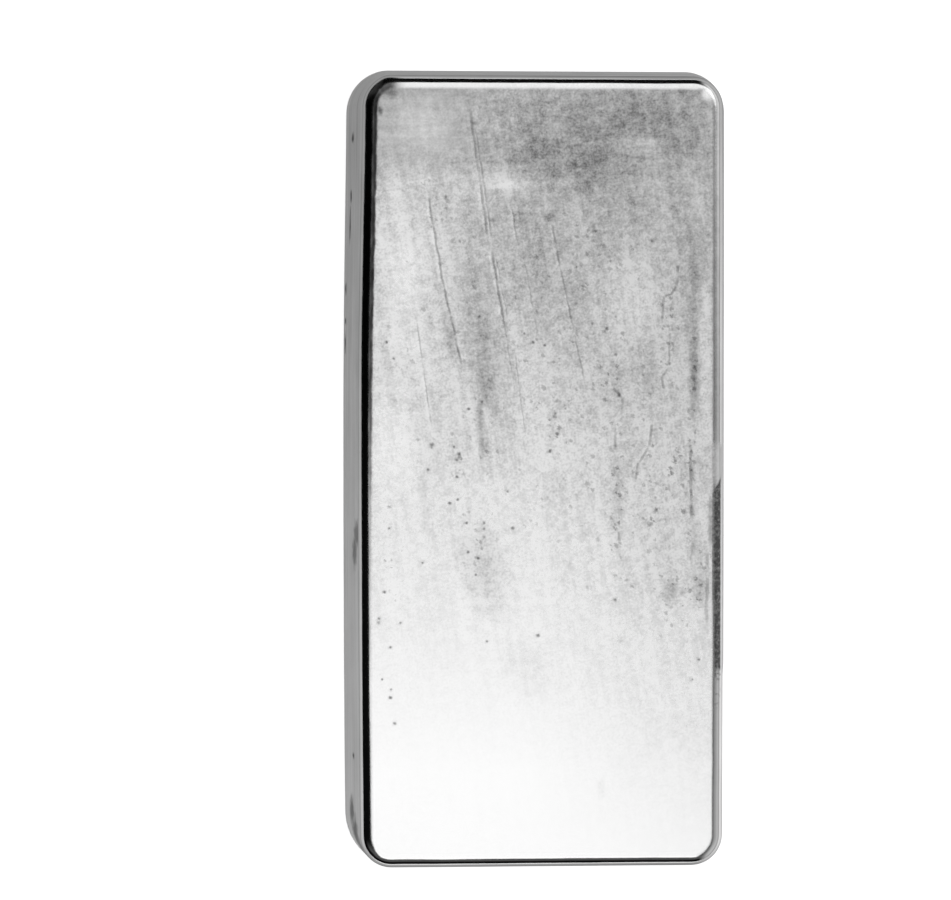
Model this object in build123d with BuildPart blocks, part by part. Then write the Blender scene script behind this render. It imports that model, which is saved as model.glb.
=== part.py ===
from build123d import *
import math
import os

# A one-kilogram silver bar, cast in an open mould and lying with its mould face up.
# Sizes are in millimetres. Z points up from the surface that the bar lies on, Y runs
# along its length, X across its width, and the origin is under the bar's middle.

# Overall size of the casting
length = 111.8
width = 53.7
thickness = 17.0

# Mould: walls that lean inwards, long sides that bulge a little, a rounded bottom edge
draft_angle = 8.0
left_side_bulge = 0.3
right_side_bulge = 0.06
mould_edge_radius = 1.7
mould_corner_radius = 4.1

# Poured face, which lies underneath: a rolled rim, and a flat margin round a shallow sink
rim_radius = 2.5
sink_margin = 5.0
sink_depth = 0.4

# Corner radii in plan along the rim: the metal stayed short of the near left corner
far_left_corner_radius = 6.0
far_right_corner_radius = 5.6
near_right_corner_radius = 4.3
near_left_corner_radius = 7.9

# Fine silver, in kilograms per cubic millimetre
silver_density = 10.49e-6

# The wall planes would meet the floor a little outside the widest line of the rolled rim
draft = math.radians(draft_angle)
rim_overrun = rim_radius * ((1 + math.sin(draft)) / math.cos(draft) - 1)
mould_inset = thickness * math.tan(draft)

# Corners by the signs of their X and Y
rim_corners = {
    (-1, 1): far_left_corner_radius,
    (1, 1): far_right_corner_radius,
    (1, -1): near_right_corner_radius,
    (-1, -1): near_left_corner_radius,
}
mould_corners = dict.fromkeys(rim_corners, mould_corner_radius)


def bar_outline(height, inset, corners):
    """Plan outline at one height: straight ends, bulged sides and a radius for each corner."""
    half_length = length / 2 + rim_overrun - inset
    half_width = width / 2 + rim_overrun - inset
    left_x = left_side_bulge - half_width
    right_x = half_width - right_side_bulge
    with BuildSketch(Plane.XY.offset(height)) as outline:
        with BuildLine():
            far_end = Line((left_x, half_length), (right_x, half_length))
            right_side = SagittaArc(far_end @ 1, (right_x, -half_length), right_side_bulge)
            near_end = Line(right_side @ 1, (left_x, -half_length))
            SagittaArc(near_end @ 1, far_end @ 0, left_side_bulge)
        make_face()
        for (x_sign, y_sign), radius in corners.items():
            sharp_corner = (left_x if x_sign < 0 else right_x, y_sign * half_length, height)
            fillet(outline.vertices().sort_by_distance(sharp_corner)[0], radius)
    return outline.sketch


# Metal that the sink takes away: a round lens, stretched along the bar
sink_half_width = width / 2 - sink_margin
sink_half_length = length / 2 - sink_margin
lens_radius = (sink_half_width**2 + sink_depth**2) / (2 * sink_depth)

with BuildPart() as sink:
    with BuildSketch(Plane.XZ):
        with BuildLine():
            lens_top = (0, sink_depth)
            lens_rim = (sink_half_width, 0)
            RadiusArc(lens_top, lens_rim, lens_radius)
            Polyline(lens_rim, (0, 0), lens_top)
        make_face()
    revolve(axis=Axis.Z)
    scale(by=(1, sink_half_length / sink_half_width, 1))

with BuildPart() as silver_bar:
    # Drafted body between the rim and the mould face
    add(bar_outline(0, 0, rim_corners))
    add(bar_outline(thickness, mould_inset, mould_corners))
    loft(ruled=True)

    # Rounded edge of the mould face, and rolled rim of the poured face
    fillet(silver_bar.faces().sort_by(Axis.Z)[-1].edges(), mould_edge_radius)
    fillet(silver_bar.faces().sort_by(Axis.Z)[0].edges(), rim_radius)

    # Shrinkage sink, deepest under the middle
    add(sink.part, mode=Mode.SUBTRACT)

silver_bar.part.label = "silver_bar"

size = silver_bar.part.bounding_box().size
weight = silver_bar.part.volume * silver_density
print(f"silver_bar: {size.X:.2f} x {size.Y:.2f} x {size.Z:.2f} mm, {weight:.3f} kg of fine silver")

os.makedirs("parts", exist_ok=True)
export_step(silver_bar.part, "parts/silver_bar.step")
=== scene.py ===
"""A one-kilogram cast silver bar lying on a pale floor, seen from above.

The bar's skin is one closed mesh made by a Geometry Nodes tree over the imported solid's own
sizes. It adds what casting, handling and tarnish leave: a wavering edge, laps along the
walls, pits, and a rippled poured face underneath. Four finishes share their effects as
node groups: the mould face, its rounded edge, the walls and the poured face.
"""
import math

import bpy
from mathutils import Matrix, Vector


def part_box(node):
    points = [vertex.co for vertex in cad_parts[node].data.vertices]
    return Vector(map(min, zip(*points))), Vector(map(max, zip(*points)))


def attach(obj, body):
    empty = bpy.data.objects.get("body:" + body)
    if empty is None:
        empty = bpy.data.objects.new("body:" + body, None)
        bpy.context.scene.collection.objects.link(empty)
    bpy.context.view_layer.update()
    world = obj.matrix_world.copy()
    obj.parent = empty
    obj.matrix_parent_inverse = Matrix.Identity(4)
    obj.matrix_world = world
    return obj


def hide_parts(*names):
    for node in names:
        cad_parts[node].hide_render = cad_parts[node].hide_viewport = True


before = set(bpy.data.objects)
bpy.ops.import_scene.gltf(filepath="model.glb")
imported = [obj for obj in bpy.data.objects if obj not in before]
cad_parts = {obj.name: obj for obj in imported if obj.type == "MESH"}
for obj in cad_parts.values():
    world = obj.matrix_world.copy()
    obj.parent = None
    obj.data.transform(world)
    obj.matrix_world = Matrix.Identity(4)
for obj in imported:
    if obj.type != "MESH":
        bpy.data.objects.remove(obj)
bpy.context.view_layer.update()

MM = 0.001

# Sizes of the bar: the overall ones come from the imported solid
bar_low, bar_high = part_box("silver_bar")
bar_width = bar_high.x - bar_low.x
bar_length = bar_high.y - bar_low.y
bar_thickness = bar_high.z - bar_low.z
wall_lean = math.radians(8.0)
mould_edge_radius = 1.7 * MM
mould_corner_radius = 4.1 * MM
rim_radius = 2.5 * MM
far_left_corner_radius = 6.0 * MM
far_right_corner_radius = 5.6 * MM
near_right_corner_radius = 4.3 * MM
near_left_corner_radius = 7.9 * MM
left_side_bulge = 0.3 * MM
right_side_bulge = 0.06 * MM
sink_depth = 0.4 * MM
sink_margin = 5.0 * MM

# Casting marks: how deep each is, with edge wear as a share of how far in it reaches
edge_waver = 0.05 * MM
edge_wear = 0.2
left_hollow = 0.40 * MM
wall_lap = 0.06 * MM
face_swell = 0.015 * MM
pit_depth = 0.07 * MM
pour_ripple = 0.10 * MM
lap_step = 0.26 * MM

# Mesh cells across the faces, which crowd towards the long sides, and along them, and mesh rows
# down the edge, the wall and the rim
cells_across = 130
side_crowding = 0.25
cells_along = 290
edge_rows = 10
wall_rows = 12
rim_rows = 5

# Camera, found from the lines of the bar's edges in the photograph
camera_place = Vector((-34.5, 12.5, 465.9)) * MM
camera_aim = Vector((-8.56, 2.85, 8.0)) * MM
camera_lens = 125.0
camera_sensor = 36.0
camera_clip_start = 0.01

# Light: soft panels overhead at about the brightness of white, each with its left and right sides
# and its near and far ends in metres, a pale floor, and a dim room around them
panel_height = 0.617
panel_brightness = 1.10
overhead_panel = (-0.20, 0.19, -0.52, 0.66)
far_right_panel = (0.19, 0.70, 0.14, 0.66)
floor_reach = 3.0
floor_tone = 0.85
floor_glow = 0.78
right_gloom = 0.32
far_right_glow = 0.22
far_left_glow = 0.2
near_gloom = 0.08
dark_gloom = 0.003

# Reflectance of the silver, clean and fully toned, of the walls, the poured face and soot, and of
# cast skin at a grazing angle; the soot also serves as painted shade on the worn left edge
clean_silver = 0.95
toned_silver = 0.34
wall_silver = 0.53
poured_silver = 0.62
soot_and_edge_shade = 0.06
grazing_tint = 0.4

# The share of toning that rubbing takes away, and of the walls' reflectance that the edge's skin has
rubbed_share = 0.70
edge_skin_share = 0.7

# How far marks darken the silver, with painted shade on the worn left edge and in scratch grooves, and how
# far a scratch's lip brightens it as a painted highlight
stain_darkening = 0.85
edge_painted_shade = 0.85
scratch_groove_shade = 0.46
scratch_lip_highlight = 0.06
corrosion_darkening = 0.45

# Roughness of the finishes
clean_roughness = 0.24
toning_roughness = 0.12
edge_polish = 0.15
wall_roughness = 0.42
dulled_roughness = 0.5
poured_roughness = 0.48

# Grain and relief of the finishes, too fine for the mesh
face_grain_scale = 2.2
wall_grain_scale = 1.8
poured_grain_scale = 1.2
face_relief = 0.006 * MM
edge_relief = 0.0015 * MM
wall_relief = 0.012 * MM
poured_relief = 0.02 * MM

# Tarnish breaks up into clouds, grains and finer grains by these shares
cloud_share = 0.5
grains_share = 0.85
fine_grains_share = 0.8

# Tone of the walls: shares of drawn lines and of clouds, and its fall over a millimetre towards the far end
drawn_lines_share = 0.42
wall_cloud_share = 0.14
wall_tone_fall = 0.0022

# Rubbing and streaks on the mould face lean this much off the bar's length
streak_lean = math.radians(9.5)

# Scattered pits: how many on a square centimetre of plain and of freckled face, and their radius
plain_pits = 0.5
freckle_pits = 8.0
least_pit_radius = 0.15
most_pit_radius = 0.42
pit_seed = 11

# Large pits in the mould face, in millimetres: place across, place along, radius
placed_pits = [
    (-15.0, 3.7, 0.58),
    (-13.1, 37.4, 0.36),
    (-11.2, 31.4, 0.32),
    (-11.3, 2.5, 0.40),
    (-8.2, 9.6, 0.30),
    (8.9, 19.6, 0.42),
    (10.1, 21.2, 0.30),
    (2.0, 9.7, 0.40),
    (2.1, 5.2, 0.42),
    (1.1, 2.9, 0.40),
    (10.6, 10.6, 0.45),
    (-20.8, -4.7, 0.36),
    (-10.1, -10.9, 0.36),
    (-0.5, -22.3, 0.38),
    (-20.7, -30.7, 0.36),
    (-20.1, -34.2, 0.34),
    (15.7, -5.2, 0.42),
    (14.9, -7.2, 0.42),
    (10.1, -17.5, 0.36),
    (-7.9, -6.9, 0.34),
    (-7.9, -7.7, 0.28),
    (-7.9, -8.8, 0.32),
    (-8.7, -11.7, 0.30),
    (-9.0, -14.0, 0.28),
    (-4.7, -2.6, 0.30),
    (-4.0, -7.6, 0.36),
    (-12.0, 3.5, 0.32),
    (-11.6, 1.7, 0.34),
    (-12.6, -4.2, 0.36),
    (-11.5, -3.7, 0.30),
    (-10.3, -6.9, 0.30),
    (-20.8, -7.6, 0.28),
    (-21.5, -16.3, 0.30),
    (-22.3, -20.5, 0.34),
    (-9.1, 10.0, 0.28),
    (-10.0, 8.6, 0.32),
    (-8.5, 21.2, 0.30),
    (1.8, 8.0, 0.36),
    (-20.2, 15.5, 0.28),
    (-21.2, 17.7, 0.32),
    (-1.2, 17.7, 0.32),
    (0.4, 17.3, 0.30),
    (-2.4, 18.9, 0.30),
    (7.3, 32.9, 0.32),
    (6.9, 20.3, 0.30),
    (4.2, 17.8, 0.30),
    (15.1, 31.5, 0.34),
    (17.5, 14.8, 0.36),
    (-22.2, -19.9, 0.28),
    (-19.3, -20.5, 0.30),
    (-20.7, -23.8, 0.30),
    (-21.8, -28.2, 0.22),
    (-20.6, -29.6, 0.26),
    (-7.5, -23.1, 0.30),
    (-16.3, -12.3, 0.30),
    (-11.6, -0.6, 0.30),
    (-15.6, 0.4, 0.28),
    (20.7, -28.4, 0.28),
    (21.6, -25.7, 0.26),
]

# Toning of the mould face: at its middle, its rise over a millimetre towards the far end, which is
# partly painted shade, its least, and what the right half has on top of that
middle_toning = 0.38
toning_and_shade_rise = 0.0088
least_toning = 0.02
right_half_toning = 0.13

# Patches where the mould face is more or less toned: centre, reach, change
toning_patches = [
    ((-19.5, 26.0), (6.0, 20.0), -0.22),
    ((-16.0, 47.0), (8.0, 5.0), -0.16),
    ((-21.0, 5.0), (5.0, 14.0), -0.16),
    ((-4.4, 39.2), (5.0, 2.0), -0.28),
    ((13.0, 44.8), (5.0, 2.2), -0.20),
    ((22.0, 42.0), (3.4, 12.0), -0.13),
    ((13.0, 24.0), (7.0, 8.0), -0.16),
    ((8.0, 45.5), (18.0, 7.0), 0.11),
    ((-1.5, 43.6), (9.0, 4.0), 0.13),
    ((4.8, 38.2), (3.8, 3.0), 0.17),
    ((14.0, 48.6), (6.0, 2.0), 0.07),
    ((19.4, 45.2), (3.0, 1.6), 0.10),
    ((8.0, 42.0), (7.0, 3.0), 0.08),
    ((2.0, 45.0), (8.0, 9.0), 0.11),
    ((-8.0, 33.5), (2.6, 8.0), 0.10),
    ((-8.0, 20.0), (4.0, 22.0), 0.28),
    ((-12.6, 18.5), (1.2, 4.5), 0.25),
    ((-7.3, 11.5), (1.9, 5.0), 0.24),
    ((-8.2, 5.5), (1.0, 7.0), 0.26),
    ((-0.5, 28.0), (7.0, 14.0), 0.20),
    ((1.0, 34.6), (1.0, 0.8), 0.60),
    ((3.5, 12.0), (5.0, 12.0), 0.05),
    ((10.0, 12.0), (9.0, 8.0), 0.08),
    ((-8.0, -13.0), (4.5, 9.0), 0.24),
    ((-8.6, -18.6), (1.6, 1.2), 0.12),
    ((-2.0, -27.0), (6.0, 6.0), 0.07),
    ((18.5, -13.0), (7.0, 9.0), 0.06),
    ((-20.6, 51.6), (1.4, 0.7), 0.40),
    ((-22.3, 49.1), (0.6, 0.9), 0.60),
    ((20.9, 13.0), (1.0, 8.0), 0.34),
    ((20.7, 24.0), (1.0, 16.0), 0.14),
    ((22.4, 17.0), (1.3, 16.0), -0.22),
    ((-16.0, 39.4), (3.0, 3.6), -0.12),
    ((17.0, 36.0), (8.0, 8.0), -0.08),
    ((20.6, 0.2), (0.5, 1.8), 0.45),
    ((20.6, -5.5), (0.5, 1.6), 0.45),
    ((20.7, -10.3), (0.4, 1.3), 0.40),
    ((15.0, -3.0), (8.0, 16.0), 0.03),
    ((10.2, -3.0), (1.2, 9.0), 0.16),
    ((17.6, -16.5), (1.6, 2.4), 0.30),
    ((22.4, -16.0), (1.4, 9.0), 0.12),
    ((21.5, -15.8), (1.8, 2.6), 0.20),
    ((8.2, -43.2), (0.7, 2.0), 0.14),
]

# Right of this, marks run straight along the bar; left of it they lean with the streaks
straight_marks_start = 8.0

# Where a cloth rubbed the left half lighter: its right and left sides at the bar's middle, its far end
rubbed_right_side = -1.7
rubbed_left_side = -16.0
rubbed_far_end = 40.8
rubbed_change = -0.13

# Where freckles of corrosion crowd, often in trains along the bar: centre, reach, share
freckle_patches = [
    ((10.3, -4.0), (1.5, 13.0), 0.9),
    ((14.8, 4.0), (1.2, 7.0), 0.7),
    ((18.3, 0.5), (3.0, 3.6), 0.9),
    ((20.6, 2.0), (0.8, 13.0), 0.8),
    ((19.4, -5.5), (2.2, 3.5), 0.6),
    ((15.4, -6.2), (1.3, 3.4), 0.8),
    ((18.5, -17.0), (4.0, 6.0), 0.8),
    ((22.0, -12.0), (1.8, 9.0), 0.6),
    ((1.6, 7.0), (2.0, 7.0), 0.7),
    ((-8.0, 4.0), (2.0, 7.0), 0.6),
    ((-11.6, 2.5), (1.8, 3.6), 0.8),
    ((-9.0, -9.0), (2.4, 7.0), 0.6),
    ((-20.6, -12.0), (2.4, 9.0), 0.5),
    ((9.5, 15.0), (2.6, 7.0), 0.6),
    ((17.2, 19.0), (2.4, 8.0), 0.7),
    ((21.0, 14.5), (1.4, 10.0), 0.7),
    ((7.0, 29.0), (7.0, 9.0), 0.3),
    ((-14.0, 36.0), (4.0, 5.0), 0.35),
    ((-1.0, 20.0), (26.0, 34.0), 0.25),
    ((13.0, 0.0), (12.0, 26.0), 0.25),
]

# Scratches across the mould face: start, end, width, strength
scratches = [
    ((-9.9, 49.8), (-6.9, 29.0), 0.26, 0.9),
    ((-9.2, 47.5), (-6.2, 28.0), 0.20, 0.7),
    ((-7.0, 31.0), (-4.8, 18.0), 0.24, 1.0),
    ((-6.3, 29.5), (-4.6, 20.5), 0.12, 0.5),
    ((-5.4, 22.0), (-3.6, 10.5), 0.14, 0.6),
    ((-15.5, 37.9), (-13.2, 24.0), 0.22, 0.9),
    ((-13.5, 25.7), (-10.7, 13.7), 0.22, 1.0),
    ((-4.1, 36.0), (-3.3, 31.0), 0.16, 0.7),
    ((1.3, 34.0), (2.6, 27.5), 0.22, 0.8),
    ((2.4, 28.5), (6.1, 11.0), 0.16, 0.7),
    ((-2.6, 30.0), (-0.4, 18.0), 0.14, 0.5),
    ((-17.1, 20.5), (-14.9, 5.5), 0.16, 0.6),
    ((-3.8, 17.5), (-2.2, 4.5), 0.14, 0.5),
]

# Lines that corrosion has drawn along the bar: start, end, width, strength
corrosion_lines = [
    ((18.6, 28.4), (18.4, 25.0), 0.30, 1.0),
    ((18.5, 25.4), (17.7, 24.2), 0.24, 0.9),
    ((17.9, 24.3), (16.7, 24.0), 0.20, 0.9),
    ((16.7, 24.1), (16.4, 20.4), 0.26, 0.8),
    ((17.5, 19.2), (17.4, 14.6), 0.20, 0.7),
    ((17.5, 14.3), (16.4, 12.9), 0.24, 0.8),
    ((16.4, 13.1), (16.8, 11.2), 0.26, 0.9),
    ((15.1, 6.6), (14.7, 3.2), 0.30, 0.9),
    ((14.7, 3.4), (13.2, 1.2), 0.24, 0.8),
    ((13.2, 1.4), (12.8, -1.3), 0.22, 0.8),
    ((9.7, 11.5), (11.0, 10.0), 0.24, 1.0),
    ((11.0, 10.2), (10.9, 7.6), 0.26, 0.7),
    ((9.9, 7.2), (10.1, 3.0), 0.28, 0.7),
    ((10.5, -8.0), (10.7, -12.0), 0.26, 0.7),
    ((20.3, 4.0), (20.5, -7.0), 0.26, 0.8),
    ((21.0, 19.0), (20.6, 6.0), 0.45, 0.3),
    ((23.2, -3.0), (23.1, -10.8), 0.45, 0.75),
    ((22.7, -10.5), (22.6, -22.0), 0.34, 0.7),
    ((-8.5, 12.5), (-8.2, -1.5), 0.55, 0.4),
]

# Stains on the left wall, in millimetres along the bar and up it: centre, reach, strength
left_wall_stains = [
    ((46.0, 8.4), (0.9, 1.1), 1.0),
    ((38.0, 7.6), (1.2, 0.8), 1.0),
    ((34.0, 7.2), (3.0, 0.6), 1.0),
    ((25.3, 4.4), (1.1, 0.8), 1.0),
    ((20.8, 4.4), (0.6, 0.8), 1.0),
    ((17.6, 4.4), (1.6, 0.8), 1.0),
    ((-8.4, 14.4), (2.2, 3.0), 0.7),
    ((-11.0, 12.6), (2.8, 2.4), 0.7),
    ((-39.3, 10.5), (0.6, 0.9), 1.0),
    ((-47.2, 8.8), (2.6, 2.4), 0.8),
    ((-50.0, 11.2), (2.8, 3.4), 0.8),
    ((-51.8, 13.4), (2.2, 2.6), 0.8),
]

# The dark stain along the right edge: where it starts and ends along the bar, and its outer side
right_stain_far_end = 0.0
right_stain_near_end = -27.5
right_stain_outer_side = 24.65

# Just beyond the stain, handling has dulled the right edge
dulled_edge_far_end = 3.5
dulled_edge_near_end = -1.5


class Field:
    """A value that varies over a surface: sums and products of it become math nodes."""

    def __init__(self, tree, socket):
        self.tree = tree
        self.socket = socket

    def math(self, operation, *others):
        node = self.tree.nodes.new("ShaderNodeMath")
        node.operation = operation
        for socket, value in zip(node.inputs, (self, *others)):
            feed(self.tree, socket, value)
        return Field(self.tree, node.outputs[0])

    def __add__(self, other):
        return self.math("ADD", other)

    __radd__ = __add__

    def __mul__(self, other):
        return self.math("MULTIPLY", other)

    def __neg__(self):
        return self * -1.0

    def __sub__(self, other):
        return self.math("SUBTRACT", other)

    def __rsub__(self, other):
        return -self + other

    def __truediv__(self, other):
        return self.math("DIVIDE", other)

    def abs(self):
        return self.math("ABSOLUTE")

    def sin(self):
        return self.math("SINE")

    def cos(self):
        return self.math("COSINE")

    def sqrt(self):
        return self.math("SQRT")

    def above(self, level):
        return self.math("GREATER_THAN", level)

    def begun(self):
        """1 where a share has begun, else 0."""
        return self.above(0.001)

    def complete(self):
        """1 where a share is complete, else 0."""
        return self.above(0.999)

    def at_least(self, other):
        return self.math("MAXIMUM", other)

    def at_most(self, other):
        return self.math("MINIMUM", other)

    def clamp(self, low=0.0, high=1.0):
        return self.at_least(low).at_most(high)

    def ease(self, start, end, first, last):
        """The first value up to start, the last from end on, smooth between."""
        inputs = {"Value": self, "From Min": start, "From Max": end, "To Min": first, "To Max": last}
        node = add_node(self.tree, "ShaderNodeMapRange", inputs, interpolation_type="SMOOTHSTEP")
        return out(node, "Result")

    def ramp(self, start, end):
        """0 up to start, 1 from end on, smooth between."""
        return self.ease(start, end, 0.0, 1.0)

    def fade(self, start, end):
        """1 up to start, 0 from end on, smooth between."""
        return self.ease(start, end, 1.0, 0.0)

    def toward(self, other, share):
        """This value at share 0, the other at share 1."""
        return self + (other - self) * share


def feed(tree, socket, value):
    """Links a field to a socket, or sets the socket to a plain value."""
    if isinstance(value, Field):
        tree.links.new(value.socket, socket)
    else:
        socket.default_value = value


def add_node(tree, kind, inputs=None, **settings):
    """Adds a node with its settings, and feeds the named inputs."""
    node = tree.nodes.new(kind)
    for name, value in settings.items():
        setattr(node, name, value)
    for name, value in (inputs or {}).items():
        feed(tree, node.inputs[name], value)
    return node


def out(node, name):
    """A node's output as a field."""
    return Field(node.id_data, node.outputs[name])


def split(tree, vector):
    """The X, Y and Z of a vector, as three fields."""
    node = add_node(tree, "ShaderNodeSeparateXYZ", {"Vector": vector})
    return out(node, "X"), out(node, "Y"), out(node, "Z")


def join(tree, x, y, z):
    """A vector from three values."""
    return out(add_node(tree, "ShaderNodeCombineXYZ", {"X": x, "Y": y, "Z": z}), "Vector")


def scaled(tree, vector, factor):
    """A vector made longer or shorter by a factor."""
    node = add_node(tree, "ShaderNodeVectorMath", {"Vector": vector, "Scale": factor}, operation="SCALE")
    return out(node, "Vector")


def noise(tree, vector, scale, detail=2.0, roughness=0.5):
    """Soft noise around 0, about -0.5 to 0.5."""
    inputs = {"Vector": vector, "Scale": scale, "Detail": detail, "Roughness": roughness}
    node = add_node(tree, "ShaderNodeTexNoise", inputs)
    return Field(tree, node.outputs[0]) - 0.5


def start_group(name, inputs, outputs, kind="ShaderNodeTree"):
    """An empty node group with named sockets, and its inputs as fields."""
    tree = bpy.data.node_groups.new(name, kind)
    for socket_name, socket_kind in inputs.items():
        tree.interface.new_socket(socket_name, in_out="INPUT", socket_type=socket_kind)
    for socket_name in outputs:
        tree.interface.new_socket(socket_name, in_out="OUTPUT", socket_type="NodeSocketFloat")
    group_input = tree.nodes.new("NodeGroupInput")
    return tree, {socket_name: out(group_input, socket_name) for socket_name in inputs}


def start_mesh_group(name, inputs, output):
    """An empty Geometry Nodes group of plain values with one output, and its inputs as fields."""
    return start_group(name, dict.fromkeys(inputs, "NodeSocketFloat"), [output], "GeometryNodeTree")


def end_group(tree, results):
    """Feeds a group's outputs, and gives the group back."""
    group_output = tree.nodes.new("NodeGroupOutput")
    for name, value in results.items():
        feed(tree, group_output.inputs[name], value)
    return tree


# Shape of the skin

edge_offset = mould_edge_radius * math.cos(wall_lean)
wall_top = bar_thickness - mould_edge_radius * (1 - math.sin(wall_lean))
wall_foot = rim_radius * (1 + math.sin(wall_lean))
wall_drop = wall_top - wall_foot
wall_run = wall_drop * math.tan(wall_lean)
rim_run = rim_radius * (1 - math.cos(wall_lean))
face_inset = edge_offset + wall_run + rim_run
edge_tangent = mould_edge_radius * math.tan((math.pi / 2 - wall_lean) / 2)

skin_sizes = {
    "Face half width": bar_width / 2 - face_inset,
    "Face half length": bar_length / 2 - face_inset,
    "Face corner radius": mould_corner_radius - edge_tangent,
    "Thickness": bar_thickness,
    "Wall lean": wall_lean,
    "Mould edge radius": mould_edge_radius,
    "Rim radius": rim_radius,
    "Wall run": wall_run,
    "Wall drop": wall_drop,
    "Far left corner radius": far_left_corner_radius,
    "Far right corner radius": far_right_corner_radius,
    "Near right corner radius": near_right_corner_radius,
    "Near left corner radius": near_left_corner_radius,
    "Left side bulge": left_side_bulge,
    "Right side bulge": right_side_bulge,
    "Sink depth": sink_depth,
    "Sink margin": sink_margin,
    "Edge waver": edge_waver,
    "Edge wear": edge_wear,
    "Left hollow": left_hollow,
    "Wall lap": wall_lap,
    "Face swell": face_swell,
    "Pit depth": pit_depth,
    "Pour ripple": pour_ripple,
    "Lap step": lap_step,
}


def skin_tree():
    """A Geometry Nodes tree with a named input for each size, and those inputs as fields."""
    tree = bpy.data.node_groups.new("silver_bar_skin", "GeometryNodeTree")
    tree.interface.new_socket("Geometry", in_out="OUTPUT", socket_type="NodeSocketGeometry")
    for name in skin_sizes:
        tree.interface.new_socket(name, in_out="INPUT", socket_type="NodeSocketFloat")
    group_input = tree.nodes.new("NodeGroupInput")
    return tree, {name: out(group_input, name) for name in skin_sizes}


def store(tree, geometry, name, value):
    """Keeps a field on the mesh as a named point attribute."""
    inputs = {"Geometry": geometry, "Name": name, "Value": value}
    node = add_node(tree, "GeometryNodeStoreNamedAttribute", inputs, data_type="FLOAT", domain="POINT")
    return out(node, "Geometry")


def stored(tree, name):
    """A named point attribute of the mesh, as a field."""
    node = add_node(tree, "GeometryNodeInputNamedAttribute", {"Name": name}, data_type="FLOAT")
    return out(node, "Attribute")


def mesh_position(tree):
    """Where each point of the mesh lies, in metres."""
    return out(add_node(tree, "GeometryNodeInputPosition"), "Position")


def moved(tree, geometry, offset):
    """The mesh with its points moved by an offset."""
    node = add_node(tree, "GeometryNodeSetPosition", {"Geometry": geometry, "Offset": offset})
    return out(node, "Geometry")


def bar_form(tree, size):
    """The smooth casting: a cube's grid laid over the bar, with its shares of edge, wall and rim."""
    rows = edge_rows + wall_rows + rim_rows
    cube_inputs = {
        "Size": (2.0, 2.0, 2.0),
        "Vertices X": cells_across + 1,
        "Vertices Y": cells_along + 1,
        "Vertices Z": rows + 1,
    }
    cube = add_node(tree, "GeometryNodeMeshCube", cube_inputs)
    grid_x, grid_y, grid_z = split(tree, mesh_position(tree))

    # Shares of the way down the rounded edge, the wall and the rolled rim
    row = (1.0 - grid_z) * (rows / 2)
    edge_share = (row / edge_rows).clamp()
    wall_share = ((row - edge_rows) / wall_rows).clamp()
    rim_share = ((row - (edge_rows + wall_rows)) / rim_rows).clamp()
    geometry = store(tree, out(cube, "Mesh"), "edge_share", edge_share)
    geometry = store(tree, geometry, "wall_share", wall_share)
    geometry = store(tree, geometry, "rim_share", rim_share)

    # Profile: how far out from the flat face, and how far down
    lean = size["Wall lean"]
    edge_turn = edge_share * (math.pi / 2 - lean)
    rim_turn = (math.pi / 2 - lean) + rim_share * (math.pi / 2 + lean)
    edge_out = size["Mould edge radius"] * edge_turn.sin()
    edge_down = size["Mould edge radius"] * (1.0 - edge_turn.cos())
    rim_out = size["Rim radius"] * (rim_turn.sin() - lean.cos())
    rim_down = size["Rim radius"] * (lean.sin() - rim_turn.cos())
    outward = edge_out + size["Wall run"] * wall_share + rim_out
    height = size["Thickness"] - edge_down - size["Wall drop"] * wall_share - rim_down

    # Plan: a straight core, and a corner radius that grows from the face to the rim
    face_radius = size["Face corner radius"]
    core_x = size["Face half width"] - face_radius
    core_y = size["Face half length"] - face_radius
    crowded_x = grid_x * (1.0 + side_crowding - grid_x * grid_x * side_crowding)
    flat_x = crowded_x * size["Face half width"]
    flat_y = grid_y * size["Face half length"]
    along_x = (flat_x / core_x).clamp(-1.0, 1.0)
    along_y = (flat_y / core_y).clamp(-1.0, 1.0)
    past_x = flat_x - along_x * core_x
    past_y = flat_y - along_y * core_y
    past = (past_x * past_x + past_y * past_y).sqrt().at_least(1e-9)
    reach = past_x.abs().at_least(past_y.abs()) / face_radius
    right_share = along_x * 0.5 + 0.5
    far_share = along_y * 0.5 + 0.5
    near_radius = size["Near left corner radius"].toward(size["Near right corner radius"], right_share)
    far_radius = size["Far left corner radius"].toward(size["Far right corner radius"], right_share)
    foot_radius = near_radius.toward(far_radius, far_share)
    edge_radius = face_radius + edge_out
    foot_gain = (foot_radius - face_radius - size["Mould edge radius"] * lean.cos()) * wall_share
    corner_radius = edge_radius + foot_gain + rim_out
    half_x = size["Face half width"] + outward
    half_y = size["Face half length"] + outward
    plan_x = along_x * (half_x - corner_radius) + past_x / past * reach * corner_radius
    plan_y = along_y * (half_y - corner_radius) + past_y / past * reach * corner_radius

    # The long sides bulge: the bar narrows a little towards its ends
    end_share = plan_y / half_y
    bulge = size["Left side bulge"].toward(size["Right side bulge"], grid_x.above(0.0))
    plan_x = plan_x * (1.0 - end_share * end_share * (bulge / half_x))

    # Shrinkage sink in the poured face
    sink_x = plan_x / (half_x - size["Sink margin"] + size["Rim radius"])
    sink_y = plan_y / (half_y - size["Sink margin"] + size["Rim radius"])
    sunk = (1.0 - sink_x * sink_x - sink_y * sink_y).at_least(0.0)
    height = height + size["Sink depth"] * sunk * rim_share.complete()

    place = join(tree, plan_x, plan_y, height)
    formed = add_node(tree, "GeometryNodeSetPosition", {"Geometry": geometry, "Position": place})
    return out(formed, "Geometry")


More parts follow.
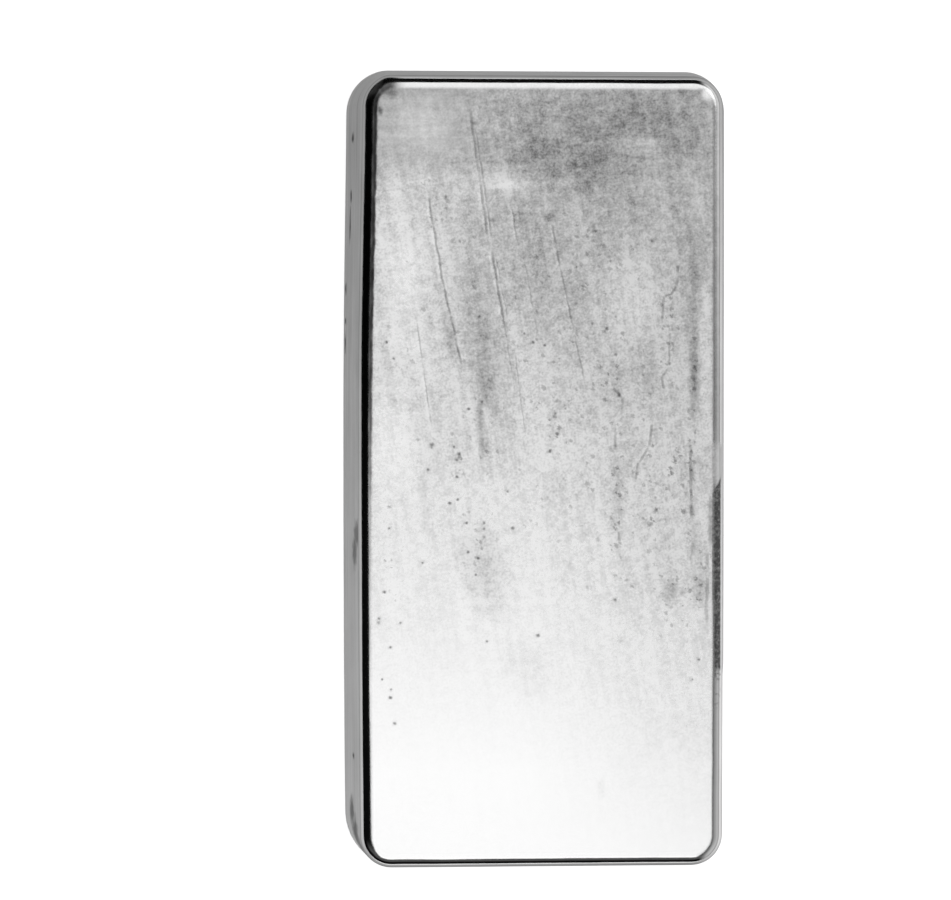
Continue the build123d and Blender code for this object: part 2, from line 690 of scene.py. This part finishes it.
def toned_patch():
    """A group: the change of toning in one patch, which may lean."""
    names = ("X", "Y", "Ragged", "Centre X", "Centre Y", "Reach X", "Reach Y", "Lean", "Change")
    tree, given = start_mesh_group("toned_patch", names, "Level")
    along = given["Y"] - given["Centre Y"]
    away_x = (given["X"] - given["Centre X"] + along * given["Lean"]) / given["Reach X"]
    away_y = along / given["Reach Y"]
    away = (away_x * away_x + away_y * away_y).sqrt() + given["Ragged"]
    return end_group(tree, {"Level": away.fade(0.0, 1.1) * given["Change"]})


def placed_pit():
    """A group: how deep a point lies in one pit, 0 to 1."""
    names = ("X", "Y", "Centre X", "Centre Y", "Radius")
    tree, given = start_mesh_group("placed_pit", names, "Depth")
    away_x = given["X"] - given["Centre X"]
    away_y = given["Y"] - given["Centre Y"]
    away = (away_x * away_x + away_y * away_y).sqrt()
    return end_group(tree, {"Depth": (away / given["Radius"]).fade(0.2, 1.2)})


def patched(tree, patches, x, y, ragged, patch):
    """The summed changes of some patches: left of where straight marks start they lean with the streaks."""
    total = 0.0
    for (centre_x, centre_y), (reach_x, reach_y), change in patches:
        inputs = {
            "X": x,
            "Y": y,
            "Ragged": ragged * min(1.0, reach_x / 2.0),
            "Centre X": centre_x,
            "Centre Y": centre_y,
            "Reach X": reach_x,
            "Reach Y": reach_y,
            "Lean": math.tan(streak_lean) if centre_x < straight_marks_start else 0.0,
            "Change": change,
        }
        total = out(add_node(tree, "GeometryNodeGroup", inputs, node_tree=patch), "Level") + total
    return total


def with_toning(tree, geometry):
    """Keeps on the mesh how toned, freckled and rubbed each point of the mould face and its edge is."""
    x, y, _ = split(tree, scaled(tree, mesh_position(tree), 1 / MM))
    ragged = noise(tree, join(tree, x, y, 0.0), 0.3, detail=4.0, roughness=0.65) * 1.2
    patch = toned_patch()
    right_half = x.ramp(-6.0, 22.0) * y.ramp(-58.0, -35.0)
    # The steady rise towards the far end is partly tarnish and partly painted shade
    level = (y * toning_and_shade_rise + middle_toning).at_least(least_toning) + right_half * right_half_toning
    level = level + patched(tree, toning_patches, x, y, ragged, patch)

    # Rubbed lighter by a cloth that ran with the streaks
    across = x + y * math.tan(streak_lean) + ragged * 0.5
    cloth = across.fade(rubbed_right_side - 0.4, rubbed_right_side + 0.4)
    cloth = cloth * across.ramp(rubbed_left_side - 4.0, rubbed_left_side + 4.0)
    far_end = y + ragged * 1.2
    cloth = cloth * far_end.fade(rubbed_far_end - 0.8, rubbed_far_end + 0.8) * y.ramp(18.0, 32.0)
    level = level + cloth * rubbed_change
    geometry = store(tree, geometry, "toning", level.at_least(0.0))
    geometry = store(tree, geometry, "freckles", patched(tree, freckle_patches, x, y, ragged, patch))

    # Rubbed clean: the far edge, the far right corner and the lower part of the right edge
    far_line = skin_sizes["Face half length"] / MM
    far_edge = y.ramp(far_line - 0.2, far_line - 0.02) * x.ramp(-21.0, -18.0)
    corner_x = (x - 23.0) / 1.5
    corner_y = (y - 51.7) / 1.3
    corner = ((corner_x * corner_x + corner_y * corner_y).sqrt() + ragged * 0.4).fade(0.4, 1.0)
    right_edge = stored(tree, "edge_share").ramp(0.1, 0.35) * x.ramp(18.0, 22.0) * 0.9
    rubbed = far_edge.at_least(corner).at_least(right_edge)
    return store(tree, geometry, "rubbed", rubbed)


def freckled_part(x, y):
    """The part of the mould face, right of the middle, that corrosion has freckled most."""
    return x.ramp(4.0, 12.0) * x.fade(20.0, 23.0) * y.fade(12.0, 30.0) * y.ramp(-26.0, -14.0)


def with_pits(tree, geometry):
    """Keeps on the mesh how deep each point lies in a pit, placed or scattered: 0 to 1."""
    position = mesh_position(tree)
    x, y, _ = split(tree, scaled(tree, position, 1 / MM))
    on_face = stored(tree, "edge_share").fade(0.0, 0.2)
    per_square_metre = 1e4
    trains = noise(tree, join(tree, x * 0.45, y * 0.05, 0.0), 1.0, detail=2.0).ramp(-0.1, 0.2)
    density = freckled_part(x, y) * trains * freckle_pits + y.ramp(-15.0, 15.0) * plain_pits
    sowing = {"Mesh": geometry, "Density": density * on_face * per_square_metre, "Seed": pit_seed}
    sown = add_node(tree, "GeometryNodeDistributePointsOnFaces", sowing, distribute_method="RANDOM")
    spread = {"Min": least_pit_radius, "Max": most_pit_radius, "Seed": pit_seed}
    chance = tree.nodes.new("FunctionNodeRandomValue")
    chance.data_type = "FLOAT"
    for socket in chance.inputs:
        if socket.enabled and socket.name in spread:
            socket.default_value = spread[socket.name]
    radii = next(socket for socket in chance.outputs if socket.enabled)
    points = store(tree, out(sown, "Points"), "radius", Field(tree, radii))

    nearest = add_node(tree, "GeometryNodeSampleNearest", {"Geometry": points}, domain="POINT")
    found = {"Geometry": points, "Index": out(nearest, "Index")}
    centre = add_node(tree, "GeometryNodeSampleIndex", data_type="FLOAT_VECTOR", domain="POINT")
    radius = add_node(tree, "GeometryNodeSampleIndex", data_type="FLOAT", domain="POINT")
    for sample, value in ((centre, position), (radius, stored(tree, "radius"))):
        for name, field in (*found.items(), ("Value", value)):
            feed(tree, sample.inputs[name], field)
    away = add_node(tree, "ShaderNodeVectorMath", operation="DISTANCE")
    feed(tree, away.inputs[0], position)
    feed(tree, away.inputs[1], out(centre, "Value"))
    pit = (out(away, "Value") / MM / out(radius, "Value")).fade(0.2, 1.2)
    one_pit = placed_pit()
    for pit_x, pit_y, pit_radius in placed_pits:
        inputs = {"X": x, "Y": y, "Centre X": pit_x, "Centre Y": pit_y, "Radius": pit_radius}
        pit = pit.at_least(out(add_node(tree, "GeometryNodeGroup", inputs, node_tree=one_pit), "Depth"))
    return store(tree, geometry, "pit", pit * on_face)


def with_casting_marks(tree, geometry, size):
    """What casting leaves as real shape: a wavering edge, wall laps, pits, a lap step, pour ripples."""
    place = scaled(tree, mesh_position(tree), 1 / MM)
    x, y, z = split(tree, place)
    edge_share = stored(tree, "edge_share")
    wall_share = stored(tree, "wall_share")
    rim_share = stored(tree, "rim_share")

    # Along the skin's normal
    waver_coarse = noise(tree, join(tree, x, y, 3.0), 0.10, detail=1.0)
    waver_fine = noise(tree, join(tree, x, y, 8.0), 0.45, detail=2.0)
    on_edge = (edge_share * math.pi).sin()
    waver = (waver_coarse * 1.4 + waver_fine * 0.7 - 0.2) * on_edge * size["Edge waver"]
    on_wall = edge_share.ramp(0.7, 1.0) * rim_share.fade(0.3, 0.9)
    laps = noise(tree, join(tree, x * 0.04, y * 0.04, z * 0.28), 1.0, detail=3.0, roughness=0.6)
    on_face = edge_share.fade(0.0, 0.2)
    swell = noise(tree, place, 0.16, detail=3.0)
    rise = waver + laps * on_wall * size["Wall lap"] + swell * on_face * size["Face swell"]
    rise = rise - stored(tree, "pit") * on_face * size["Pit depth"]
    normal = out(add_node(tree, "GeometryNodeInputNormal"), "Normal")

    # The left side is hollow towards the far end, and the edge of the mould face is worn away there
    hollow = y.ramp(10.0, 52.0) * (-x).ramp(20.5, 23.2)
    hollow = hollow * (1.0 - wall_share * 0.45) * size["Left hollow"]
    face_radius = size["Face corner radius"] / MM
    end_share = y / (bar_length / MM / 2)
    side_line = size["Face half width"] / MM - end_share * end_share * (size["Left side bulge"] / MM)
    past_x = (face_radius - side_line - x).at_least(0.0)
    past_y = (y + face_radius - size["Face half length"] / MM).at_least(0.0)
    inward = face_radius - (past_x * past_x + past_y * past_y).sqrt()
    frayed = noise(tree, join(tree, x, y, 5.0), 1.1, detail=2.0)
    reach = y.ramp(-20.0, 40.0) * (frayed * 0.8 + 0.42) + past_y * 0.1 + 0.12
    wear_and_edge_shade = ((reach - inward) / reach).clamp()
    on_left = edge_share.fade(0.25, 0.95) * (-x).ramp(18.5, 21.5)
    rise = rise - wear_and_edge_shade * wear_and_edge_shade * reach * on_left * size["Edge wear"] * MM
    # Kept for the finishes, which paint shade along the worn left edge
    geometry = store(tree, geometry, "wear_and_edge_shade", wear_and_edge_shade * on_left * y.ramp(-30.0, 30.0))

    # Where the wall's lower skin lapped over: the right side steps in towards the near end
    stepped = (-y).ramp(27.6, 29.2) * x.ramp(20.0, 24.0) * wall_share.ramp(0.0, 0.5)
    stepped = stepped * rim_share.fade(0.5, 1.0)
    step_x = -(stepped * size["Lap step"])

    # Ripples of the poured face, up into the bar only, away from the rim that it rests on
    ripple_run = (x * x * 2.2 + y * y * 0.5).sqrt() + noise(tree, place, 0.12) * 9.0
    ripple = (ripple_run * 1.1).sin() * 0.5 + 0.5 + noise(tree, place, 0.5, detail=3.0)
    inside = x.abs().fade(14.0, 21.0) * y.abs().fade(42.0, 50.0) * rim_share.complete()
    ripple_rise = ripple.at_least(0.0) * inside * size["Pour ripple"]

    geometry = moved(tree, geometry, scaled(tree, normal, rise))
    return moved(tree, geometry, join(tree, step_x + hollow, 0.0, ripple_rise))


def cover(tree, geometry, material, selection=None):
    """Gives the faces of a selection a material."""
    inputs = {"Geometry": geometry, "Material": material}
    if selection is not None:
        inputs["Selection"] = selection
    return out(add_node(tree, "GeometryNodeSetMaterial", inputs), "Geometry")


def bar_skin(mould_material, edge_material, wall_material, poured_material):
    """The bar's finished skin as a plain mesh object."""
    tree, size = skin_tree()
    geometry = bar_form(tree, size)
    geometry = with_toning(tree, geometry)
    geometry = with_pits(tree, geometry)
    geometry = with_casting_marks(tree, geometry, size)
    smooth = add_node(tree, "GeometryNodeSetShadeSmooth", {"Geometry": geometry})
    real = add_node(tree, "GeometryNodeRealizeInstances", {"Geometry": out(smooth, "Geometry")})
    geometry = cover(tree, out(real, "Geometry"), wall_material)
    geometry = cover(tree, geometry, edge_material, 1.0 - stored(tree, "edge_share").complete())
    geometry = cover(tree, geometry, mould_material, 1.0 - stored(tree, "edge_share").begun())
    geometry = cover(tree, geometry, poured_material, stored(tree, "rim_share").complete())
    group_output = tree.nodes.new("NodeGroupOutput")
    feed(tree, group_output.inputs["Geometry"], geometry)

    bar = bpy.data.objects.new("silver_bar_skin", bpy.data.meshes.new("silver_bar_skin"))
    bpy.context.scene.collection.objects.link(bar)
    modifier = bar.modifiers.new("skin", "NODES")
    modifier.node_group = tree
    for socket in tree.interface.items_tree:
        if socket.in_out == "INPUT":
            modifier[socket.identifier] = skin_sizes[socket.name]
    depsgraph = bpy.context.evaluated_depsgraph_get()
    mesh = bpy.data.meshes.new_from_object(bar.evaluated_get(depsgraph))
    bar.modifiers.clear()
    bar.data = mesh
    return bar


# Effects that the finishes share


def use(tree, group, inputs):
    """Places a shader group in a material, with its own values."""
    return add_node(tree, "ShaderNodeGroup", inputs, node_tree=group)


def grain_effect():
    """Fine grain left by the mould and by frosting: a height around 0."""
    sockets = {"Vector": "NodeSocketVector", "Scale": "NodeSocketFloat"}
    tree, given = start_group("cast_grain", sockets, ["Height"])
    fine = noise(tree, given["Vector"], given["Scale"], detail=4.0, roughness=0.65)
    return end_group(tree, {"Height": fine})


def toning_effect():
    """Tarnish that breaks up into clouds, streaks and grains around a given level.

    The vector runs across the streaks in X and along them in Y, in millimetres.
    """
    sockets = {
        "Vector": "NodeSocketVector",
        "Level": "NodeSocketFloat",
        "Streak": "NodeSocketFloat",
        "Calm": "NodeSocketFloat",
    }
    tree, given = start_group("toning", sockets, ["Mask"])
    across, along, up = split(tree, given["Vector"])
    cloud = noise(tree, given["Vector"], 0.14, detail=5.0, roughness=0.6)
    streak = noise(tree, join(tree, across, along * 0.06, up), 0.7, detail=4.0, roughness=0.65)
    grains = noise(tree, given["Vector"], 0.9, detail=3.0, roughness=0.65)
    fine = noise(tree, given["Vector"], 3.0, detail=2.0, roughness=0.6)
    level = given["Level"]
    busy = (level.ramp(0.0, 0.5) * 0.95 + 0.05) * (1.0 - given["Calm"])
    break_up = cloud * cloud_share + streak * given["Streak"]
    break_up = break_up + grains * grains_share + fine * fine_grains_share
    return end_group(tree, {"Mask": (level + break_up * busy).at_least(level * 0.75).at_most(1.3)})


def patch_effect():
    """A soft patch: 1 inside its core, 0 outside, its outline moved by Ragged."""
    sockets = {
        "Vector": "NodeSocketVector",
        "Centre": "NodeSocketVector",
        "Reach": "NodeSocketVector",
        "Ragged": "NodeSocketFloat",
        "Core": "NodeSocketFloat",
    }
    tree, given = start_group("soft_patch", sockets, ["Mask"])
    away = add_node(tree, "ShaderNodeVectorMath", operation="SUBTRACT")
    feed(tree, away.inputs[0], given["Vector"])
    feed(tree, away.inputs[1], given["Centre"])
    share = add_node(tree, "ShaderNodeVectorMath", operation="DIVIDE")
    feed(tree, share.inputs[0], out(away, "Vector"))
    feed(tree, share.inputs[1], given["Reach"])
    distance = add_node(tree, "ShaderNodeVectorMath", {"Vector": out(share, "Vector")}, operation="LENGTH")
    reach = out(distance, "Value") + given["Ragged"]
    return end_group(tree, {"Mask": reach.fade(given["Core"], 1.1)})


def scratch_effect():
    """A scratch: a groove, moved aside by Waver, and the lip pushed up along one side, where the finish
    paints a highlight.
    """
    sockets = {
        "Vector": "NodeSocketVector",
        "From": "NodeSocketVector",
        "To": "NodeSocketVector",
        "Width": "NodeSocketFloat",
        "Waver": "NodeSocketFloat",
    }
    tree, given = start_group("scratch", sockets, ["Groove", "Lip highlight"])
    x, y, _ = split(tree, given["Vector"])
    from_x, from_y, _ = split(tree, given["From"])
    to_x, to_y, _ = split(tree, given["To"])
    run_x = to_x - from_x
    run_y = to_y - from_y
    run = (run_x * run_x + run_y * run_y).sqrt()
    along = ((x - from_x) * run_x + (y - from_y) * run_y) / run
    aside = ((x - from_x) * run_y - (y - from_y) * run_x) / run
    aside = aside + given["Waver"]
    within = along.ramp(0.0, run * 0.1) * (run - along).ramp(0.0, run * 0.2)
    groove = aside.abs().fade(given["Width"] * 0.3, given["Width"])
    lip_away = aside - given["Width"] * 1.6
    lip_highlight = lip_away.abs().fade(given["Width"] * 0.3, given["Width"])
    return end_group(tree, {"Groove": groove * within, "Lip highlight": lip_highlight * within})


def speck_effect():
    """Scattered small specks of uneven size: Amount is the share of places that have one."""
    sockets = {
        "Vector": "NodeSocketVector",
        "Scale": "NodeSocketFloat",
        "Size": "NodeSocketFloat",
        "Amount": "NodeSocketFloat",
    }
    tree, given = start_group("specks", sockets, ["Mask"])
    bend = noise(tree, given["Vector"], given["Scale"] * 2.5, detail=2.0) * 0.9
    x, y, z = split(tree, given["Vector"])
    bent = join(tree, x + bend, y - bend, z)
    cells = add_node(tree, "ShaderNodeTexVoronoi", {"Vector": bent, "Scale": given["Scale"]})
    chance, spread, _ = split(tree, out(cells, "Color"))
    present = (given["Amount"] - chance).above(0.0)
    size = given["Size"] * (spread * 0.8 + 0.3)
    speck = out(cells, "Distance").fade(size * 0.4, size)
    return end_group(tree, {"Mask": speck * present})


def wall_effect():
    """The dull cast skin of the walls: drawn lines that run along the bar."""
    tree, given = start_group("wall_skin", {"Vector": "NodeSocketVector"}, ["Tone", "Height"])
    x, y, z = split(tree, given["Vector"])
    drawn = noise(tree, join(tree, x * 0.03, y * 0.03, z * 1.1), 1.0, detail=4.0, roughness=0.65)
    cloud = noise(tree, given["Vector"], 0.12, detail=4.0)
    tone = drawn * drawn_lines_share + cloud * wall_cloud_share - y * wall_tone_fall
    return end_group(tree, {"Tone": tone, "Height": drawn})


cast_grain = grain_effect()
toning = toning_effect()
soft_patch = patch_effect()
scratch = scratch_effect()
specks = speck_effect()
wall_skin = wall_effect()


# Finishes


def new_finish(name):
    """A metal material, its node tree and its place on the bar in millimetres."""
    material = bpy.data.materials.new(name)
    material.use_nodes = True
    tree = material.node_tree
    shader = tree.nodes["Principled BSDF"]
    shader.inputs["Metallic"].default_value = 1.0
    place = scaled(tree, out(add_node(tree, "ShaderNodeTexCoord"), "Object"), 1 / MM)
    return material, tree, place


def attribute(tree, name):
    """A value that the mesh carries, as a field."""
    return out(add_node(tree, "ShaderNodeAttribute", attribute_name=name), "Fac")


def grain_height(tree, place, scale):
    """The height of the cast grain, at a scale."""
    return out(use(tree, cast_grain, {"Vector": place, "Scale": scale}), "Height")


def tarnished(toned):
    """The silver's reflectance where it is toned by a share."""
    return clean_silver - toned * (clean_silver - toned_silver)


def dull_at_grazing(tree):
    """Keeps cast skin from brightening, as clean silver does, where it is seen at a grazing angle."""
    tint = tree.nodes["Principled BSDF"].inputs["Specular Tint"]
    tint.default_value = (grazing_tint, grazing_tint, grazing_tint, 1.0)


def finish(tree, reflectance, roughness, height, relief):
    """Feeds the metal: how much it reflects, how rough it is, and its fine relief in metres."""
    shader = tree.nodes["Principled BSDF"]
    bump = add_node(tree, "ShaderNodeBump", {"Height": height, "Distance": relief})
    feed(tree, shader.inputs["Base Color"], reflectance)
    feed(tree, shader.inputs["Roughness"], roughness)
    feed(tree, shader.inputs["Normal"], out(bump, "Normal"))


def toned_share(tree, x, y):
    """How toned the mould face and its edge are: the mesh's toning, broken up into streaks and grains."""
    across = x * math.cos(streak_lean) + y * math.sin(streak_lean)
    along = y * math.cos(streak_lean) - x * math.sin(streak_lean)
    bands = noise(tree, join(tree, x * 0.12, y * 1.1, 0.0), 1.0, detail=3.0, roughness=0.6)
    level = attribute(tree, "toning") + bands * y.ramp(20.0, 45.0) * 0.35
    calm = x.fade(-14.0, -4.0) * y.ramp(38.0, 46.0) * 0.5
    inputs = {"Vector": join(tree, across, along, 0.0), "Level": level, "Streak": 0.6, "Calm": calm}
    mask = out(use(tree, toning, inputs), "Mask")
    return mask * (1.0 - attribute(tree, "rubbed") * rubbed_share)


def right_stain(tree, place):
    """The dark stain along the bar's right edge: it starts at a point, widens inwards and ends in spots."""
    x, y, _ = split(tree, place)
    ragged = noise(tree, place, 0.7, detail=4.0, roughness=0.65)
    down = -y + ragged * 1.5
    start = -right_stain_far_end
    end = -right_stain_near_end
    mottled = noise(tree, place, 2.0, detail=3.0, roughness=0.6)
    spots = mottled.ramp(0.0, 0.15) * down.ramp(end - 1.0, end) * down.fade(end + 1.0, end + 6.0)
    length = down.ramp(start - 0.5, start + 0.5) * down.fade(end - 1.0, end) + spots * 0.6
    widening = down.ramp(start, start + 4.0) * 1.6 - down.ramp(12.0, 22.0) * 0.45
    inner_side = right_stain_outer_side - widening + ragged * 0.5
    inside = (x - inner_side).ramp(-0.1, 0.25)
    inside = inside * x.fade(right_stain_outer_side - 0.2, right_stain_outer_side + 0.1)
    core = x.ramp(23.5, 23.9) * 0.4 + 0.6
    return (length * inside * core * (mottled * 1.6 + 0.95)).clamp()


def lines_drawn(tree, flat, lines, waver):
    """The deepest of some lines at each point, and the highest of their lips."""
    groove = None
    lip_highlight = None
    for (from_x, from_y), (to_x, to_y), width, strength in lines:
        inputs = {
            "Vector": flat,
            "From": (from_x, from_y, 0.0),
            "To": (to_x, to_y, 0.0),
            "Width": width,
            "Waver": waver,
        }
        line = use(tree, scratch, inputs)
        line_groove = out(line, "Groove") * strength
        line_lip = out(line, "Lip highlight") * strength
        groove = line_groove if groove is None else groove.at_least(line_groove)
        lip_highlight = line_lip if lip_highlight is None else lip_highlight.at_least(line_lip)
    return groove, lip_highlight


def pits_drawn(tree, flat):
    """How deep a point lies in the placed pits: 1 in the middle of one, 0 at its rim, less outside."""
    deepest = -1.0
    for pit_x, pit_y, pit_radius in placed_pits:
        away = add_node(tree, "ShaderNodeVectorMath", operation="DISTANCE")
        feed(tree, away.inputs[0], flat)
        away.inputs[1].default_value = (pit_x, pit_y, 0.0)
        depth = out(away, "Value").math("MULTIPLY_ADD", -1.0 / pit_radius, 1.0)
        deepest = depth.at_least(deepest)
    return deepest


def mould_face_finish():
    """Silver cast against the mould: clean at the near end, toned and streaked towards the far end, and
    darkening that way partly by painted shade.
    """
    material, tree, place = new_finish("mould_face_silver")
    x, y, _ = split(tree, place)
    flat = join(tree, x, y, 0.0)
    toned = toned_share(tree, x, y)
    reflectance = tarnished(toned)

    # Freckles of corrosion
    amount = attribute(tree, "freckles")
    freckle = use(tree, specks, {"Vector": flat, "Scale": 1.3, "Size": 0.55, "Amount": amount})
    reflectance = reflectance * (1.0 - out(freckle, "Mask") * (amount * 0.3 + 0.22))

    # Scratches, with painted shade in their grooves and a painted highlight on their lips, and corrosion
    # lines
    waver = noise(tree, flat, 0.5, detail=2.0) * 0.4 + noise(tree, flat, 2.4, detail=1.0) * 0.16
    broken = noise(tree, flat, 0.4, detail=3.0).ramp(-0.22, 0.06)
    groove, lip_highlight = lines_drawn(tree, flat, scratches, waver)
    reflectance = reflectance * (1.0 - groove * broken * scratch_groove_shade) + lip_highlight * broken * scratch_lip_highlight
    corroded, _ = lines_drawn(tree, flat, corrosion_lines, waver)
    reflectance = reflectance * (1.0 - corroded * broken * corrosion_darkening)

    # Pits with soot in them, and painted shade along the worn left edge, where the rounded edge reflects
    # the dark room
    blotches_of_soot_and_shade = noise(tree, flat, 2.0, detail=2.0)
    pit = (pits_drawn(tree, flat) + blotches_of_soot_and_shade * 1.2).ramp(0.0, 0.9)
    pit = pit.at_least(attribute(tree, "pit") * 0.4)
    reflectance = reflectance.toward(soot_and_edge_shade, pit * (broken * 0.35 + 0.42))
    wear_and_edge_shade = (attribute(tree, "wear_and_edge_shade") + blotches_of_soot_and_shade * 0.5).ramp(0.1, 0.9)
    reflectance = reflectance.toward(soot_and_edge_shade, wear_and_edge_shade * edge_painted_shade)

    grain = grain_height(tree, place, face_grain_scale)
    roughness = toned * toning_roughness + clean_roughness
    relief = grain * (y.ramp(-45.0, 5.0) * 0.85 + 0.15)
    finish(tree, reflectance, roughness, relief, face_relief)
    return material


def edge_finish():
    """The rounded edge of the mould face: bright above, with the wall's dull skin below."""
    material, tree, place = new_finish("edge_silver")
    x, y, _ = split(tree, place)
    edge_share = attribute(tree, "edge_share")
    toned = toned_share(tree, x, y)
    wall = use(tree, wall_skin, {"Vector": place})
    right = x.ramp(20.0, 24.0)
    near = (-y).ramp(50.0, 53.0)
    skin = (out(wall, "Tone") + wall_silver) * (right * 0.38 - near * 0.25 + edge_skin_share)
    skinned = (edge_share + right * 0.12).ramp(0.5, 0.6)
    reflectance = tarnished(toned).toward(skin, skinned)
    # Painted shade along the worn left edge, as on the mould face
    reflectance = reflectance.toward(soot_and_edge_shade, attribute(tree, "wear_and_edge_shade").ramp(0.1, 0.9) * edge_painted_shade)
    stain = right_stain(tree, place)
    reflectance = reflectance * (1.0 - stain * stain_darkening)
    roughness = toned * toning_roughness + clean_roughness - edge_share.ramp(0.0, 0.25) * edge_polish
    roughness = roughness.toward(wall_roughness, edge_share.ramp(0.62, 0.9).at_least(stain))
    dulled = right * y.ramp(dulled_edge_near_end - 1.0, dulled_edge_near_end + 1.0)
    dulled = dulled * y.fade(dulled_edge_far_end - 0.5, dulled_edge_far_end + 1.0)
    roughness = roughness.toward(dulled_roughness, dulled)
    grain = grain_height(tree, place, face_grain_scale)
    finish(tree, reflectance, roughness, grain, edge_relief)
    dull_at_grazing(tree)
    return material


def wall_finish():
    """The walls' dull cast skin, stained where the bar was held and stood."""
    material, tree, place = new_finish("wall_silver")
    x, y, z = split(tree, place)
    wall = use(tree, wall_skin, {"Vector": place})
    reflectance = out(wall, "Tone") + wall_silver
    stain = right_stain(tree, place)
    on_left = x.fade(-24.0, -20.0)
    upright = join(tree, y, z, 0.0)
    ragged = noise(tree, upright, 0.9, detail=4.0, roughness=0.6) * 1.2
    for (centre_y, centre_z), (reach_y, reach_z), strength in left_wall_stains:
        inputs = {
            "Vector": upright,
            "Centre": (centre_y, centre_z, 0.0),
            "Reach": (reach_y, reach_z, 1.0),
            "Ragged": ragged,
            "Core": 0.3,
        }
        patch = out(use(tree, soft_patch, inputs), "Mask") * strength
        stain = stain.at_least(patch * on_left)
    reflectance = reflectance * (1.0 - stain * stain_darkening)
    grain = grain_height(tree, place, wall_grain_scale)
    height = out(wall, "Height") + grain * 0.6
    finish(tree, reflectance, grain * 0.15 + wall_roughness, height, wall_relief)
    dull_at_grazing(tree)
    return material


def poured_face_finish():
    """The open face of the pour, frosted as it froze."""
    material, tree, place = new_finish("poured_face_silver")
    frost = grain_height(tree, place, poured_grain_scale)
    toned = out(use(tree, toning, {"Vector": place, "Level": 0.3, "Streak": 0.0, "Calm": 0.0}), "Mask")
    spots = out(use(tree, specks, {"Vector": place, "Scale": 0.35, "Size": 0.2, "Amount": 0.2}), "Mask")
    reflectance = (poured_silver - toned * 0.25 + frost * 0.2) * (1.0 - spots * 0.4)
    finish(tree, reflectance, frost * 0.2 + poured_roughness, frost - spots, poured_relief)
    return material


# Studio


def facing(direction):
    """The turn of a camera or lamp that looks along a direction, with the bar's length upright."""
    forward = direction.normalized()
    right = forward.cross(Vector((0.0, 1.0, 0.0))).normalized()
    up = right.cross(forward)
    return Matrix((right, up, -forward)).transposed().to_euler()


def floor():
    """Pale floor: white to the camera and in the metal, with the bar's shadow kept."""
    material = bpy.data.materials.new("pale_floor")
    material.use_nodes = True
    tree = material.node_tree
    tree.nodes.clear()
    diffuse = add_node(tree, "ShaderNodeBsdfDiffuse", {"Color": (floor_tone, floor_tone, floor_tone, 1.0)})
    glow = add_node(tree, "ShaderNodeEmission")
    light_path = tree.nodes.new("ShaderNodeLightPath")
    seen = out(light_path, "Is Camera Ray") + out(light_path, "Is Glossy Ray")
    seen = seen + out(light_path, "Is Transmission Ray")
    feed(tree, glow.inputs["Strength"], seen * floor_glow)
    both = tree.nodes.new("ShaderNodeAddShader")
    tree.links.new(diffuse.outputs[0], both.inputs[0])
    tree.links.new(glow.outputs[0], both.inputs[1])
    surface = tree.nodes.new("ShaderNodeOutputMaterial")
    tree.links.new(both.outputs[0], surface.inputs["Surface"])

    mesh = bpy.data.meshes.new("floor")
    signs = ((-1, -1), (1, -1), (1, 1), (-1, 1))
    corners = [(x_sign * floor_reach, y_sign * floor_reach, 0) for x_sign, y_sign in signs]
    mesh.from_pydata(corners, [], [(0, 1, 2, 3)])
    mesh.materials.append(material)
    plane = bpy.data.objects.new("floor", mesh)
    bpy.context.scene.collection.objects.link(plane)


def ceiling_panel(name, low_x, high_x, low_y, high_y):
    """A soft light that faces down over a stretch of the ceiling, out of the camera's sight."""
    lamp = bpy.data.lights.new(name, "AREA")
    lamp.shape = "RECTANGLE"
    lamp.size = high_x - low_x
    lamp.size_y = high_y - low_y
    lamp.energy = panel_brightness * math.pi * lamp.size * lamp.size_y
    panel = bpy.data.objects.new(name, lamp)
    panel.location = ((low_x + high_x) / 2, (low_y + high_y) / 2, panel_height)
    panel.rotation_euler = facing(Vector((0.0, 0.0, -1.0)))
    panel.visible_camera = False
    bpy.context.scene.collection.objects.link(panel)


def room():
    """A dark room, with some light from the right and the far left, and a little from the near side."""
    world = bpy.data.worlds.new("room")
    bpy.context.scene.world = world
    world.use_nodes = True
    tree = world.node_tree
    direction = out(add_node(tree, "ShaderNodeTexCoord"), "Generated")
    to_right, to_far, up = split(tree, direction)
    beside = to_far.ramp(0.0, 0.08) * far_right_glow + right_gloom
    gloom = to_right.ramp(0.3, 0.65) * (up.fade(0.35, 0.75) * 0.5 + 1.0) * beside + dark_gloom
    gloom = gloom + (-to_far).ramp(0.2, 0.6) * up.ramp(0.35, 0.6) * near_gloom
    far_left = (-to_right).ramp(0.3, 0.55) * to_far.ramp(0.3, 0.55)
    gloom = gloom + far_left * up.ramp(0.1, 0.3) * far_left_glow
    background = tree.nodes["Background"]
    background.inputs["Color"].default_value = (1.0, 1.0, 1.0, 1.0)
    feed(tree, background.inputs["Strength"], gloom)


def camera():
    """Camera straight above the bar, a little to its left."""
    lens = bpy.data.cameras.new("camera")
    lens.lens = camera_lens
    lens.sensor_width = camera_sensor
    lens.clip_start = camera_clip_start
    eye = bpy.data.objects.new("camera", lens)
    eye.location = camera_place
    eye.rotation_euler = facing(camera_aim - camera_place)
    bpy.context.scene.collection.objects.link(eye)
    bpy.context.scene.camera = eye


bar = bar_skin(mould_face_finish(), edge_finish(), wall_finish(), poured_face_finish())
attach(bar, "root")
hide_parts("silver_bar")

floor()
room()
ceiling_panel("overhead_panel", *overhead_panel)
ceiling_panel("far_right_panel", *far_right_panel)
camera()

bpy.context.scene.view_settings.view_transform = "Standard"
